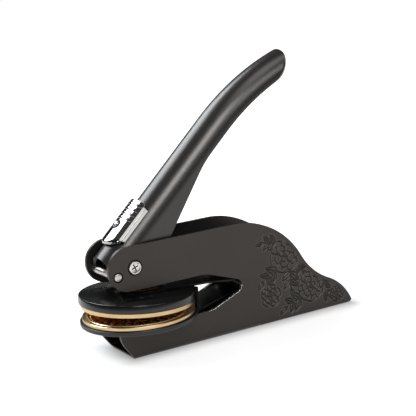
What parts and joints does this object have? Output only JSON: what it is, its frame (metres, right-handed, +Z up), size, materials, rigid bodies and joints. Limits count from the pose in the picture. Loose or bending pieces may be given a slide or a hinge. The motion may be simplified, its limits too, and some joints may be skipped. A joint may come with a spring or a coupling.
{
  "type": "seal embosser",
  "caption": "Desk seal embosser: squeezing the lever handle swings the upper die down onto the lower die and raises a round seal in paper.",
  "frame": {"origin": "middle of the whole object's box, on the underside that rests on the desk", "axes": "+X from the dies towards the tail, +Y across the object, +Z up"},
  "size_m": [0.1104, 0.043, 0.1019],
  "materials": {
    "frame_paint": "satin dark grey-brown paint",
    "anvil_black": "satin black",
    "pivot_steel": "polished",
    "inner_steel": "plain steel",
    "clip_black": "blackened spring steel",
    "die_black": "smooth black",
    "rim_gold": "bright turned brass",
    "face_gold": "engraved brass",
    "rivet_steel": "plain steel",
    "handle_grey": "satin gunmetal lacquer",
    "slide_chrome": "mirror chrome"
  },
  "bodies": {
    "frame": {"frame": "frame_paint", "anvil_plate": "anvil_black", "pivot_post": "pivot_steel", "pivot_screw": "pivot_steel", "pivot_spacer": "inner_steel", "pivot_washers": "inner_steel", "stop_pin": "pivot_steel", "return_spring": "inner_steel", "clip_spring": "clip_black", "lower_die_plate": "die_black", "lower_die_rim": "rim_gold", "lower_die_face": "face_gold", "lower_rivets": "rivet_steel"},
    "lever": {"handle_lever": "handle_grey", "press_roller": "inner_steel", "roller_pin": "pivot_steel"},
    "upper_die": {"upper_die_plate": "die_black", "upper_die_rim": "rim_gold", "upper_die_face": "face_gold", "upper_rivets": "rivet_steel", "press_pad": "inner_steel"},
    "lock_slide": {"lock_slide": "slide_chrome", "slide_stud": "slide_chrome", "slide_catch": "inner_steel"}
  },
  "joints": [
    {"name": "lever_hinge", "type": "hinge", "parent": "frame", "child": "lever", "pos_m": [-0.0382, 0, 0.0333], "axis": [0, 1, 0], "range_deg": [0, 24], "stiffness_Nm_per_rad": 0.1, "springref_deg": -34.38, "deforming": ["return_spring"]},
    {"name": "upper_die_swing", "type": "hinge", "parent": "frame", "child": "upper_die", "pos_m": [0.0063, 0, 0.0172], "axis": [0, 1, 0], "range_deg": [-3, 0], "stiffness_Nm_per_rad": 0.8, "springref_deg": 2.86, "deforming": ["clip_spring"]},
    {"name": "lock_slide_travel", "type": "slide", "parent": "lever", "child": "lock_slide", "axis": [-0.7343, 0, -0.6788], "range_m": [0, 0.005]}
  ],
  "couplings": [
    {"joint": "upper_die_swing", "follows": "lever_hinge", "ratio": -0.125}
  ]
}
